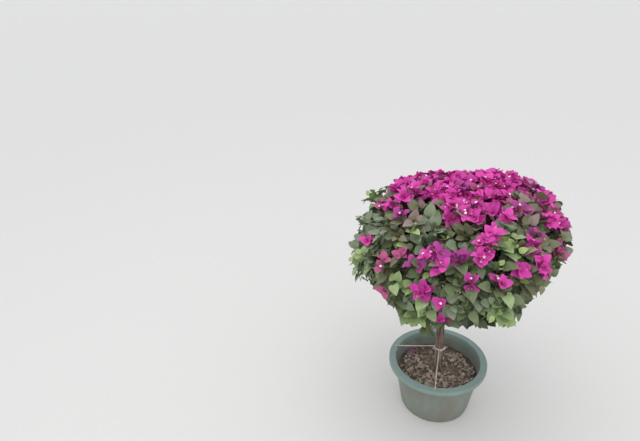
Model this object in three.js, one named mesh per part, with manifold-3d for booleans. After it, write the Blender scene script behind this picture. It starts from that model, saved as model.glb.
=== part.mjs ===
// A bougainvillea bush grown as a small standard in a round nursery pot.
// One straight trunk stands in the pot's soil and forks into boughs, and each bough carries one mass
// of leaves and bracts. Two lengths of twine tie the trunk to the pot's rim.
// Millimetres, +Z up. The origin is the centre of the pot's flat underside, and -Y is the front.

import * as THREE from "three";
import { mergeVertices } from "three/addons/utils/BufferGeometryUtils.js";
import Module from "manifold-3d";

const wasm = await Module();
wasm.setup();

// Driving dimensions
const POT_HEIGHT = 190;
const LIP_RADIUS = 170; // outer edge of the flat lip
const MOUTH_RADIUS = 146; // inner edge of the lip
const BASE_RADIUS = 120;
const WALL = 4;
const LIP_DEPTH = 16;
const LIP_ROUND = 3;
const SOIL_DROP = 55; // from the lip down to the soil at the wall
const SOIL_CROWN = 8; // how much higher the soil is at the trunk
const SOIL_FLAT_RADIUS = 34; // level soil under the trunk's foot

const TRUNK_FOOT_RADIUS = 21;
const TRUNK_RADIUS = 14.5;
const TRUNK_TIP_RADIUS = 11.5;
const TRUNK_TIP_HEIGHT = 436;
const FLARE_HEIGHT = 55;
const FLARE_LOBES = 5;
const FLARE_LOBE_DEPTH = 0.1; // as a share of the radius

const CROWN_RADIUS = 340;
const CROWN_TOP = 842;
const CROWN_BOTTOM = 454;
const CROWN_TILT = 7; // degrees by which its right side is higher than its left
const CROWN_SAG = 0.28; // share by which its lower half is deeper on the left and shallower on the right
const CROWN_SHIFT = 23; // the crown's middle lies this far to the right of the pot's
const CROWN_MIDDLE = 632; // height of its widest part
const CROWN_LUMPS = 0.055; // rise and fall of its outline, as a share of its radius
const HOLLOW_RADIUS = 112; // bare middle of the crown, where only boughs are
const HOLLOW_HALF_HEIGHT = 125;
const HOLLOW_MIDDLE = 515;
const MASS_GAP = 5; // between neighbouring masses
const MASS_CREASES = 0.06; // how far each mass's own skin dips, as a share of its reach

const BOUGH_RADIUS = 7.5;
const BOUGH_TIP_RADIUS = 4.6;
const BOUGH_SOCKET = 16; // how far a bough runs into its mass

const TWINE_RADIUS = 2;
const TWINE_TIE_HEIGHT = 238; // of the loop round the trunk
const TWINE_LOOP_RADIUS = 16.2; // to the middle of the strand
const GUY_HOLD = 9; // from the lip's inner edge to where a guy is held
const FIT_GAP = 0.3; // between two solids that touch

const POT_SEGMENTS = 48;
const SOIL_SEGMENTS = 36;
const MASS_DETAIL = 4;
const MASS_ROUNDING = 13; // a higher power gives the masses sharper edges

const degrees = THREE.MathUtils.degToRad;
const material = (color, roughness) => new THREE.MeshStandardMaterial({ color, roughness, metalness: 0 });

const MATERIALS = {
  pot: material(0x6f9389, 0.55),
  soil: material(0x6b5a4c, 0.95),
  bark: material(0x7a6557, 0.9),
  leaf: material(0x5f7350, 0.6),
  bract: material(0xb8188f, 0.6),
  twine: material(0xb9b3a4, 0.8),
};

// A closed geometry as a manifold-3d solid, and back again
function solidOf(geometry) {
  const bare = geometry.clone();
  bare.deleteAttribute("normal");
  bare.deleteAttribute("uv");
  const merged = mergeVertices(bare, 1e-4);
  return new wasm.Manifold(
    new wasm.Mesh({
      numProp: 3,
      vertProperties: new Float32Array(merged.attributes.position.array),
      triVerts: new Uint32Array(merged.index.array),
    }),
  );
}

function geometryOf(solid) {
  const mesh = solid.getMesh();
  const geometry = new THREE.BufferGeometry();
  geometry.setAttribute("position", new THREE.BufferAttribute(new Float32Array(mesh.vertProperties), 3));
  geometry.setIndex(new THREE.BufferAttribute(new Uint32Array(mesh.triVerts), 1));
  geometry.computeVertexNormals();
  return geometry;
}

// A profile of [radius, height] pairs turned about the vertical axis
function turned(profile, segments) {
  const points = profile.map(([radius, height]) => new THREE.Vector2(radius, height));
  return new THREE.LatheGeometry(points, segments).rotateX(Math.PI / 2);
}

// A limb along a curve: radiusAt(share of its length, angle round it) gives its section
function limb(curve, radiusAt, sides, steps) {
  const geometry = new THREE.CylinderGeometry(1, 1, 1, sides, steps);
  const frames = curve.computeFrenetFrames(steps, false);
  const position = geometry.attributes.position;
  const centre = new THREE.Vector3();
  for (let i = 0; i < position.count; i += 1) {
    const along = Math.round((position.getY(i) + 0.5) * steps);
    const x = position.getX(i);
    const z = position.getZ(i);
    const radius = radiusAt(along / steps, Math.atan2(z, x));
    curve.getPointAt(along / steps, centre);
    centre.addScaledVector(frames.normals[along], x * radius);
    centre.addScaledVector(frames.binormals[along], -z * radius);
    position.setXYZ(i, centre.x, centre.y, centre.z);
  }
  return geometry;
}

// Pot
const wallRadius = (height) => {
  const lipFoot = POT_HEIGHT - LIP_DEPTH;
  return BASE_RADIUS + ((MOUTH_RADIUS + WALL - BASE_RADIUS) * height) / lipFoot;
};

// The points of a quarter turn from one angle to the next, about a corner's centre
function roundedCorner(radius, height, round, fromDegrees) {
  return [0, 45, 90].map((turn) => {
    const angle = degrees(fromDegrees + turn);
    return [radius + round * Math.cos(angle), height + round * Math.sin(angle)];
  });
}

function potGeometry() {
  const footRound = 5;
  const lipFoot = POT_HEIGHT - LIP_DEPTH;
  const profile = [
    [0, 0],
    ...roundedCorner(BASE_RADIUS - footRound, footRound, footRound, -90),
    [wallRadius(lipFoot), lipFoot],
    ...roundedCorner(LIP_RADIUS - LIP_ROUND, lipFoot + LIP_ROUND, LIP_ROUND, -90),
    ...roundedCorner(LIP_RADIUS - LIP_ROUND, POT_HEIGHT - LIP_ROUND, LIP_ROUND, 0),
    ...roundedCorner(MOUTH_RADIUS + LIP_ROUND, POT_HEIGHT - LIP_ROUND, LIP_ROUND, 90),
    [MOUTH_RADIUS, lipFoot],
    [wallRadius(WALL) - WALL, WALL],
    [0, WALL],
  ];
  return turned(profile, POT_SEGMENTS);
}

// Soil fills the pot up to a little below its lip, and rises gently to the trunk
const soilEdge = POT_HEIGHT - SOIL_DROP;
const soilTop = soilEdge + SOIL_CROWN;

function soilGeometry() {
  // The pot's wall has flat facets that lie a little inside its circle, so the soil is taken in by as much
  const innerRadius = (height) => wallRadius(height) - WALL - FIT_GAP - 0.3;
  const profile = [
    [0, WALL + FIT_GAP],
    [innerRadius(WALL) - 1, WALL + FIT_GAP],
    [innerRadius(soilEdge), soilEdge],
    [innerRadius(soilEdge) * 0.72, soilEdge + SOIL_CROWN * 0.5],
    [SOIL_FLAT_RADIUS, soilTop],
    [0, soilTop],
  ];
  return turned(profile, SOIL_SEGMENTS);
}

// Trunk
const trunkFoot = soilTop + FIT_GAP;

const trunkCurve = new THREE.CatmullRomCurve3(
  [
    [3, 0, trunkFoot],
    [3, 0, trunkFoot + 14],
    [3.5, 1, 220],
    [1, -1, 300],
    [3, 1.5, 370],
    [6, 0, TRUNK_TIP_HEIGHT],
  ].map((point) => new THREE.Vector3(...point)),
);

function trunkRadius(share, angle) {
  const height = share * (TRUNK_TIP_HEIGHT - trunkFoot);
  const flare = Math.exp(-((height / FLARE_HEIGHT) * 2.6));
  const lobes = 1 + FLARE_LOBE_DEPTH * flare * Math.cos(FLARE_LOBES * angle);
  const straight = THREE.MathUtils.lerp(TRUNK_RADIUS, TRUNK_TIP_RADIUS, share);
  return (straight + (TRUNK_FOOT_RADIUS - TRUNK_RADIUS) * flare) * lobes;
}

function trunkGeometry(grow = 0) {
  const radiusAt = (share, angle) => trunkRadius(share, angle) + grow;
  return limb(trunkCurve, radiusAt, 14, 16);
}

// Crown
const crownCentre = new THREE.Vector3(CROWN_SHIFT, 0, CROWN_MIDDLE);

// A smooth uneven value between -1 and 1 for a direction
function unevenness(direction, turn) {
  const { x, y, z } = direction;
  const broad = Math.sin(3.1 * x + 1.7 * y + turn) * Math.cos(2.3 * y - 2.9 * z + 2 * turn);
  const narrow = Math.sin(6.3 * y + 4.1 * z + 3 * turn) * Math.cos(5.2 * x - 3.7 * z + turn);
  return 0.6 * broad + 0.4 * narrow;
}

// The way from the crown's middle at a turn and a rise in degrees
function directionAt(turn, rise) {
  const level = Math.cos(degrees(rise));
  const x = level * Math.cos(degrees(turn));
  const y = level * Math.sin(degrees(turn));
  return new THREE.Vector3(x, y, Math.sin(degrees(rise)));
}

// Where the outline stands out or falls in, by how many millimetres and over how many degrees each way
const OUTLINE_SWELLS = [
  { middle: directionAt(18, 31), breadth: 30, height: 50 },
  { middle: directionAt(138, 22), breadth: 26, height: 31 },
  { middle: directionAt(110, 33), breadth: 20, height: 18 },
  { middle: directionAt(-36, 1), breadth: 23, height: -50 },
  { middle: directionAt(-159, -21), breadth: 23, height: -64 },
  { middle: directionAt(172, -6), breadth: 12, height: 8 },
  { middle: directionAt(-106, -25), breadth: 18, height: -16 },
];

function outlineSwell(direction) {
  let total = 0;
  for (const { middle, breadth, height } of OUTLINE_SWELLS) {
    const apart = 2 * (1 - direction.dot(middle));
    total += height * Math.exp(-apart / degrees(breadth) ** 2);
  }
  return total;
}

// How far the crown reaches from its centre in a direction
function crownReach(direction) {
  const level = direction.clone().applyAxisAngle(new THREE.Vector3(0, 1, 0), degrees(CROWN_TILT));
  const below = (CROWN_MIDDLE - CROWN_BOTTOM) * (1 - CROWN_SAG * level.x);
  const halfHeight = level.z > 0 ? CROWN_TOP - CROWN_MIDDLE : below;
  const across = (level.x ** 2 + level.y ** 2) / CROWN_RADIUS ** 2;
  const upright = level.z ** 2 / halfHeight ** 2;
  const smooth = 1 / Math.sqrt(across + upright);
  return smooth * (1 + CROWN_LUMPS * unevenness(direction, 0.7)) + outlineSwell(direction);
}

// Distance along a ray from a point inside the crown to its outline, by halving
function reachFrom(origin, direction) {
  let near = 0;
  let far = 3 * CROWN_RADIUS;
  const spot = new THREE.Vector3();
  for (let i = 0; i < 30; i += 1) {
    const middle = (near + far) / 2;
    spot.copy(origin).addScaledVector(direction, middle).sub(crownCentre);
    const distance = spot.length();
    if (distance < crownReach(spot.normalize())) near = middle;
    else far = middle;
  }
  return near;
}

// Distance along a ray to the crown's bare middle, or a long way if it misses
function reachToHollow(origin, direction) {
  const scale = new THREE.Vector3(1 / HOLLOW_RADIUS, 1 / HOLLOW_RADIUS, 1 / HOLLOW_HALF_HEIGHT);
  const start = origin.clone().sub(new THREE.Vector3(CROWN_SHIFT / 2, 0, HOLLOW_MIDDLE)).multiply(scale);
  const way = direction.clone().multiply(scale);
  const a = way.lengthSq();
  const b = start.dot(way);
  const inside = b * b - a * (start.lengthSq() - 1);
  if (inside <= 0 || b >= 0) return 10 * CROWN_RADIUS;
  return (-b - Math.sqrt(inside)) / a;
}

// One mass for each seed point: the top, a ring of three above and a ring of five below
const ringSeed = (turnDegrees, radius, rise) =>
  new THREE.Vector3(radius * Math.cos(degrees(turnDegrees)), radius * Math.sin(degrees(turnDegrees)), rise);

const MASSES = [
  { place: "top", seed: new THREE.Vector3(5, 0, 105), forkHeight: TRUNK_TIP_HEIGHT },
  { place: "upper_front", seed: ringSeed(300, 158, 62), forkHeight: 428 },
  { place: "upper_back", seed: ringSeed(62, 160, 58), forkHeight: 420 },
  { place: "upper_left", seed: ringSeed(182, 155, 64), forkHeight: 424 },
  { place: "lower_front", seed: ringSeed(266, 208, -52), forkHeight: 398 },
  { place: "lower_right_front", seed: ringSeed(340, 212, -46), forkHeight: 412 },
  { place: "lower_right_back", seed: ringSeed(52, 206, -50), forkHeight: 402 },
  { place: "lower_left_back", seed: ringSeed(125, 210, -48), forkHeight: 410 },
  { place: "lower_left_front", seed: ringSeed(197, 210, -54), forkHeight: 394 },
];
MASSES.forEach((mass) => mass.seed.add(crownCentre));

// How far a mass reaches from its seed: to the outline, to the hollow or halfway to a neighbour
// Powers of the limits are summed, which rounds the edges where two limits meet and stays within both
function massReach(mass, direction) {
  const limits = [reachFrom(mass.seed, direction), reachToHollow(mass.seed, direction)];
  for (const other of MASSES) {
    if (other === mass) continue;
    const towards = other.seed.clone().sub(mass.seed);
    const halfway = towards.length() / 2 - MASS_GAP / 2;
    const facing = direction.dot(towards.normalize());
    if (facing > 0.05) limits.push(halfway / facing);
  }
  const sum = limits.reduce((total, limit) => total + limit ** -MASS_ROUNDING, 0);
  const dip = MASS_CREASES * 0.5 * (1 + unevenness(direction, mass.seed.x + mass.seed.z));
  return sum ** (-1 / MASS_ROUNDING) * (1 - dip);
}

function massGeometry(mass) {
  const geometry = new THREE.IcosahedronGeometry(1, MASS_DETAIL);
  const position = geometry.attributes.position;
  const direction = new THREE.Vector3();
  for (let i = 0; i < position.count; i += 1) {
    direction.fromBufferAttribute(position, i).normalize();
    const reach = massReach(mass, direction);
    direction.multiplyScalar(reach).add(mass.seed);
    position.setXYZ(i, direction.x, direction.y, direction.z);
  }
  return geometry;
}

// Boughs leave the trunk steeply, bend outwards and end in a socket in their own mass
function trunkCentreAt(height) {
  const share = (height - trunkFoot) / (TRUNK_TIP_HEIGHT - trunkFoot);
  return trunkCurve.getPointAt(THREE.MathUtils.clamp(share, 0, 1));
}

function boughCurve(mass) {
  const isLeader = mass.forkHeight === TRUNK_TIP_HEIGHT;
  const start = trunkCentreAt(mass.forkHeight);
  if (isLeader) start.z += FIT_GAP;
  const inwards = start.clone().sub(mass.seed).normalize();
  const end = mass.seed.clone().addScaledVector(inwards, massReach(mass, inwards) - BOUGH_SOCKET);
  const span = end.clone().sub(start);
  const bend = start.clone().add(new THREE.Vector3(0.3 * span.x, 0.3 * span.y, 0.48 * span.z));
  return new THREE.QuadraticBezierCurve3(start, bend, end);
}

function boughGeometry(mass, grow = 0) {
  const thick = mass.forkHeight === TRUNK_TIP_HEIGHT ? BOUGH_RADIUS + 1.5 : BOUGH_RADIUS;
  const radiusAt = (share) => THREE.MathUtils.lerp(thick, BOUGH_TIP_RADIUS, share) + grow;
  return limb(boughCurve(mass), radiusAt, 8, 6);
}

// Twine: a loop round the trunk and a guy to each of two points of the lip
const tieCentre = trunkCentreAt(TWINE_TIE_HEIGHT);

function twineLoopGeometry() {
  const ring = new THREE.TorusGeometry(TWINE_LOOP_RADIUS, TWINE_RADIUS * 0.8, 6, 18);
  ring.translate(tieCentre.x, tieCentre.y, TWINE_TIE_HEIGHT);
  const knot = new THREE.SphereGeometry(TWINE_RADIUS * 2, 8, 6);
  const knotTurn = degrees(277);
  const knotReach = TWINE_LOOP_RADIUS + 2.2;
  knot.translate(
    tieCentre.x + knotReach * Math.cos(knotTurn),
    tieCentre.y + knotReach * Math.sin(knotTurn),
    TWINE_TIE_HEIGHT,
  );
  return geometryOf(solidOf(ring).add(solidOf(knot)));
}

// Each guy runs straight from the loop to the lip's inner edge and is held on the lip
function guyCurve(turnDegrees) {
  const turn = degrees(turnDegrees);
  const outwards = new THREE.Vector3(Math.cos(turn), Math.sin(turn), 0);
  const firstReach = TWINE_LOOP_RADIUS + TWINE_RADIUS * 0.8 + 0.6;
  const firstHeight = TWINE_TIE_HEIGHT - 1;
  const clear = TWINE_RADIUS + FIT_GAP + 0.2;
  const route = [
    [MOUTH_RADIUS * 0.75, THREE.MathUtils.lerp(firstHeight, POT_HEIGHT + clear, 0.73)],
    [MOUTH_RADIUS + 1, POT_HEIGHT + clear + 1],
    [MOUTH_RADIUS + GUY_HOLD, POT_HEIGHT + clear],
  ];
  const start = tieCentre.clone().addScaledVector(outwards, firstReach).setZ(firstHeight);
  const points = route.map(([radius, height]) => outwards.clone().multiplyScalar(radius).setZ(height));
  return new THREE.CatmullRomCurve3([start, ...points], false, "catmullrom", 0.35);
}

const GUYS = [
  { name: "twine_left", turnDegrees: 152 },
  { name: "twine_front", turnDegrees: 255 },
];

const guyGeometry = (guy) => limb(guyCurve(guy.turnDegrees), () => TWINE_RADIUS, 6, 30);

// Assembly
const bush = new THREE.Group();
bush.name = "bougainvillea_bush";

function place(name, geometry, look) {
  const mesh = new THREE.Mesh(geometry, look);
  mesh.name = name;
  bush.add(mesh);
}

place("pot", potGeometry(), MATERIALS.pot);
place("soil", soilGeometry(), MATERIALS.soil);
place("trunk", trunkGeometry(), MATERIALS.bark);

// A bough is cut where it meets the trunk or a bough before it, and its mass is cut round it
const grownTrunk = solidOf(trunkGeometry(FIT_GAP));
const grownBoughs = [];
for (const mass of MASSES) {
  let bough = solidOf(boughGeometry(mass));
  if (mass.forkHeight !== TRUNK_TIP_HEIGHT) bough = bough.subtract(grownTrunk);
  for (const earlier of grownBoughs) bough = bough.subtract(earlier);
  const grownBough = solidOf(boughGeometry(mass, FIT_GAP));
  grownBoughs.push(grownBough);
  place(`bough_${mass.place}`, geometryOf(bough), MATERIALS.bark);
  const foliage = solidOf(massGeometry(mass)).subtract(grownBough);
  const look = mass.place.startsWith("lower") ? MATERIALS.leaf : MATERIALS.bract;
  place(`foliage_${mass.place}`, geometryOf(foliage), look);
}

place("twine_loop", twineLoopGeometry(), MATERIALS.twine);
for (const guy of GUYS) place(guy.name, guyGeometry(guy), MATERIALS.twine);

export default bush;
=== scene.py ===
# Looks of the potted bougainvillea bush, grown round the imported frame.
# Metres, +Z up, the pot's underside at z = 0 and -Y to the front.
from collections import namedtuple
from math import atan2, cos, exp, hypot, pi, radians, sin, sqrt

import bmesh
import bpy
import numpy as np
from mathutils import Matrix, Vector
from mathutils.bvhtree import BVHTree
from mathutils.noise import noise
from numpy.linalg import norm


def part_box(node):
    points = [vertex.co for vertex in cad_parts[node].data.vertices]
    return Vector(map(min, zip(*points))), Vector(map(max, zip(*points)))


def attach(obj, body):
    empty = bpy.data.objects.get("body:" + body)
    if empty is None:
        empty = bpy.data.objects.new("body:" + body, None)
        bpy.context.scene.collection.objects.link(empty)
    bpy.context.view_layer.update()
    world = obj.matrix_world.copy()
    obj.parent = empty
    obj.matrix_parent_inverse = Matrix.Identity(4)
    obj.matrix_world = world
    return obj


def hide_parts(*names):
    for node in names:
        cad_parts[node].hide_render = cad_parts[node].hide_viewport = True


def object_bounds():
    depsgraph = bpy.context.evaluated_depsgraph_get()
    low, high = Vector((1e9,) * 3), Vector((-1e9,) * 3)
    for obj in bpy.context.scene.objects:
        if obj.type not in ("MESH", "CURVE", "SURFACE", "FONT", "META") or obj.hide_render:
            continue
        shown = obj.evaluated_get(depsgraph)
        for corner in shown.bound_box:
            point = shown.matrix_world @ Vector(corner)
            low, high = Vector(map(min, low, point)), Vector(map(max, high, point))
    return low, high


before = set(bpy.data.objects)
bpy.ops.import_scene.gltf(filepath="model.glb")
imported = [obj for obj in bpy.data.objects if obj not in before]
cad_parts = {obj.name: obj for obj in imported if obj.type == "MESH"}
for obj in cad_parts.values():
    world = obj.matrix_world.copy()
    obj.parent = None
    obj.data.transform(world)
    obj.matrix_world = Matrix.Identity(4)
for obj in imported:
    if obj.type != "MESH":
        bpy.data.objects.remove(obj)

cad_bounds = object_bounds()
CAD_LOW, CAD_HIGH = (np.array(corner) for corner in cad_bounds)
VISUAL_LOW = CAD_LOW - 0.03 * (CAD_HIGH - CAD_LOW) - 0.008
VISUAL_HIGH = CAD_HIGH + 0.03 * (CAD_HIGH - CAD_LOW) + 0.008
rng = np.random.default_rng(71)

# Photograph and camera
PHOTO_WIDTH = 640
PHOTO_HEIGHT = 441
FOCAL_PIXELS = 520
SENSOR_MM = 36.0
CAMERA_PLACE = np.array([-0.4013, -1.4288, 1.4661])
CAMERA_DIP = radians(26.6)
CAMERA_ROLL = radians(-1.92)

# Floor and light
FLOOR_HALF = 60.0
FLOOR_COLOUR = (0.62, 0.6, 0.57, 1)
SKY_COLOUR = (0.92, 0.95, 1.0, 1)
SKY_STRENGTH = 1.28

# Pot and soil, from the frame where it gives them
POT_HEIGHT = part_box("pot")[1][2]
LIP_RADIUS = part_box("pot")[1][0]
MOUTH_RADIUS = 0.146
BASE_RADIUS = 0.120
WALL = 0.004
WALL_RINGS = 14
FOOT_ROUND = 0.005
LIP_DEPTH = 0.016
LIP_ROUND = 0.003
LIP_FOOT = POT_HEIGHT - LIP_DEPTH
POT_SEGMENTS = 144
SOIL_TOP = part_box("soil")[1][2]
SOIL_CROWN = 0.008
SOIL_EDGE = SOIL_TOP - SOIL_CROWN
SOIL_RINGS = 64
SOIL_SEGMENTS = 180
STONE_SHAPES = 6
STONES_OF_SHAPE = 34
STONE_SIZES = (0.0028, 0.0075)
CRUMBS_OF_SHAPE = 90
CRUMB_SIZES = (0.0014, 0.0042)
WOOD_CHIPS = 150
CHIP_SIZES = ((0.003, 0.008), (0.010, 0.026), (0.0012, 0.0026))
DRY_LEAVES = 95
DRY_LEAF_SIZES = (0.011, 0.023)
FALLEN_BRACT_SIZES = (0.022, 0.028)

# Trunk and boughs, as the CAD has them
TRUNK_FOOT_RADIUS = 0.021
TRUNK_RADIUS = 0.0145
TRUNK_TIP_RADIUS = 0.0115
TRUNK_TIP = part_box("trunk")[1][2]
TRUNK_SIDES = 44
FLARE_HEIGHT = 0.055
FLARE_LOBES = 5
FLARE_LOBE_DEPTH = 0.1
TRUNK_LINE = [
    (0.003, 0, SOIL_TOP - 0.004),
    (0.003, 0, SOIL_TOP + 0.014),
    (0.0035, 0.001, 0.220),
    (0.001, -0.001, 0.300),
    (0.003, 0.0015, 0.370),
    (0.006, 0, TRUNK_TIP),
]
# Old pruning wounds: height, turn about the trunk, size
KNOTS = [
    (0.196, 4.0, 0.0022), (0.262, 5.4, 0.0026), (0.305, 3.3, 0.0022),
    (0.341, 0.9, 0.0030), (0.374, 4.6, 0.0026),
]
KNOT_REACH = 0.0055
FORK_HEIGHTS = {
    "top": TRUNK_TIP,
    "upper_front": 0.428,
    "upper_back": 0.420,
    "upper_left": 0.424,
    "lower_front": 0.398,
    "lower_right_front": 0.412,
    "lower_right_back": 0.402,
    "lower_left_back": 0.410,
    "lower_left_front": 0.394,
}
BOUGH_RADIUS = 0.0075
BOUGH_TIP_RADIUS = 0.0046
BOUGH_SIDES = 18

# Crown
CROWN_CENTRE = np.array([0.023, 0.0, 0.632])
CROWN_HALF_SIZE = np.array([0.34, 0.34, 0.21])
SHOOT_SPACING = 0.030
INNER_SHOOT_SPACING = 0.045
SHOOT_INSET = (0.014, 0.044)
SHOOT_TRIES = 30000  # for each square metre of a mass
PLACED_SHOOT_DEPTH = 0.024
PROBE = 6  # pixels round a placed shoot's own where the masses are felt for
SEARCH_DEPTHS = (1.2, 2.4, 121)  # from the camera, for a shoot beside the masses
FURTHEST_PROUD = 0.042  # of a leaf's or bract's tip from its CAD mass
LEAFY_LENGTH = 0.125
INNER_LEAFY_LENGTH = 0.09
LEAF_SIZES = (0.030, 0.048)
YOUNG_LEAF_SIZES = (0.020, 0.030)
YOUNG_TIP = 0.014
LEAF_STALKS = (0.006, 0.015)
LEAF_TRIES = 4
LEAF_GAPS = (0.006, 0.012)  # along a shoot near its tip
FAR_LEAF_GAPS = (0.012, 0.022)  # and from NEAR_TIP on
NEAR_TIP = 0.05
FEW_BLOOMS_BARE = 0.014  # behind the tip of a shoot with up to three blooms
MANY_BLOOMS_BARE = 0.036
STALK_RADIUS = 0.0006
BRACT_SIZES = (0.022, 0.031)
BLOOM_STALKS = (0.006, 0.022)
BLOOM_REACH = 0.022  # how far behind its tip a shoot still carries blooms
FLOWER_SIZES = (0.0070, 0.0090)
OPEN_FLOWER_SHARE = 0.2
GOLDEN_TURN = radians(137.5)
TWIG_STEP = 0.015
TWIG_TIP_RADIUS = 0.00085
TWIG_THICKENING = 0.39
TWIG_WANDER = 0.0016
THICK_TWIG = 0.0028  # from here on a twig has more sides

# Twine
TWINE_TIE_HEIGHT = 0.238
TWINE_LOOP_RADIUS = 0.0162
TWINE_STRAND_RADIUS = 0.00105
TWINE_PITCH = 0.0075
TWINE_STEP = 0.0012
TWINE_KNOT_TURN = radians(277)
GUY_TURNS = {"twine_left": radians(152), "twine_front": radians(255)}
GUY_HOLD = 0.009  # from the lip's inner edge to the hole that takes a guy
GUY_CLEAR = 0.0022  # of a guy's middle line above the lip

# Places in the photograph, as pixel x and y, and for a patch also its radius in pixels
CROWN_OUTLINE = [
    (345, 260), (348, 252), (357, 248), (348, 242), (351, 238), (363, 236), (366, 228), (360, 222),
    (349, 219), (350, 215), (362, 213), (371, 209), (371, 203), (357, 202), (361, 193), (371, 186),
    (377, 191), (383, 187), (390, 181), (403, 174), (420, 171), (440, 169), (460, 169), (475, 169),
    (492, 165), (505, 166), (515, 170), (526, 176), (541, 184), (551, 190), (564, 193), (568, 204),
    (562, 212), (569, 217), (575, 226), (571, 234), (580, 242), (573, 254), (568, 264), (554, 272),
    (548, 286), (538, 299), (523, 308), (517, 327), (495, 329), (470, 330), (450, 330), (436, 330),
    (436, 343), (421, 346), (416, 328), (405, 328), (396, 314), (388, 309), (382, 300), (376, 293),
    (370, 285), (362, 283), (351, 282), (347, 272),
]
# Shoots by how many blooms they carry
BLOOM_SHOOTS = {
    6: [(399, 179), (408, 186), (419, 179), (414, 193), (424, 189)],
    5: [
        (481, 258), (540, 266), (559, 252), (548, 223), (398, 192), (520, 176), (530, 181),
        (541, 188),
    ],
    4: [
        (384, 207), (429, 260), (483, 246), (423, 291), (517, 271), (532, 250), (559, 225),
        (543, 199), (452, 208), (461, 215), (448, 219), (470, 216), (480, 211), (553, 194),
        (405, 199),
    ],
    3: [
        (392, 209), (401, 217), (370, 242), (402, 256), (418, 264), (438, 253), (441, 268),
        (460, 261), (491, 236), (506, 219), (477, 221),
    ],
    2: [(384, 263), (442, 321), (471, 285), (497, 284), (536, 236), (519, 211), (563, 226)],
    1: [(388, 287), (442, 304), (572, 244)],
}
# Shoots by the colour of their leaves
LEAFY_SHOOTS = {
    "pale": [
        (511, 237), (504, 250), (519, 254), (502, 240), (513, 246), (402, 283), (409, 289),
        (362, 254), (495, 314), (505, 320), (412, 315), (424, 312), (413, 232), (352, 262),
        (366, 197), (364, 191), (372, 189), (352, 276), (402, 320), (514, 318), (385, 186),
    ],
    "mid": [
        (361, 279), (392, 307), (411, 324), (425, 334), (458, 285), (573, 249), (551, 277),
        (527, 304), (508, 325), (513, 198), (441, 282), (466, 301), (500, 267), (515, 304),
        (401, 303),
    ],
    "grey": [(356, 217), (356, 241), (363, 218), (386, 220), (388, 229), (379, 237)],
    "olive": [(563, 263), (543, 283), (397, 237)],
    "dusky": [(566, 200), (417, 222)],
}
# Patches of soil with little litter on them, left darker beside the trunk: painted shade
BARE_SOIL_SHADE_PATCHES = [(428, 352, 6), (427, 361, 5), (452, 371, 6), (463, 375, 5), (449, 351, 4)]
FALLEN_BRACT_PIXELS = [(409, 350), (414, 348), (411, 353), (416, 351)]
# Patches of the thickly flowering upper part that show leaves
LEAFY_PATCHES = [
    (421, 213, 14), (436, 213, 8), (407, 225, 9), (465, 229, 12), (496, 226, 9), (514, 202, 8),
    (530, 208, 9), (519, 225, 10), (465, 198, 4), (393, 198, 6), (545, 209, 7), (529, 187, 7),
    (561, 212, 6), (541, 231, 6), (430, 224, 9), (523, 197, 6), (531, 219, 8), (501, 224, 7),
]
GREY_BAND = (372, 216, 476, 250)  # left, top, right and bottom of the leafy band under the bracts
BLOOM_LINE = 226  # above this pixel row the front of the crown is thick with bracts,
BLOOM_EDGE = 397  # but left of this column
BLOOM_EDGE_TOP = 196  # only above this row


def srgb(red, green, blue):
    """A colour of 0 to 255 as the linear colour that a shader takes."""
    shares = [channel / 255 for channel in (red, green, blue)]
    linear = [c / 12.92 if c <= 0.04045 else ((c + 0.055) / 1.055) ** 2.4 for c in shares]
    return (*linear, 1.0)


def unit(vectors):
    vectors = np.asarray(vectors, float)
    return vectors / np.maximum(norm(vectors, axis=-1, keepdims=True), 1e-9)


def smooth_step(low, high, value):
    share = np.clip((value - low) / (high - low), 0, 1)
    return share * share * (3 - 2 * share)


def full_turn(steps):
    """Evenly spaced angles once round."""
    return np.arange(steps) * 2 * pi / steps


def swung(turn, first, second):
    """The way at an angle from the first way towards the second."""
    return cos(turn) * first + sin(turn) * second


def all_swung(turns, first, second):
    """The same for many angles."""
    return np.cos(turns)[:, None] * first + np.sin(turns)[:, None] * second


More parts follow.
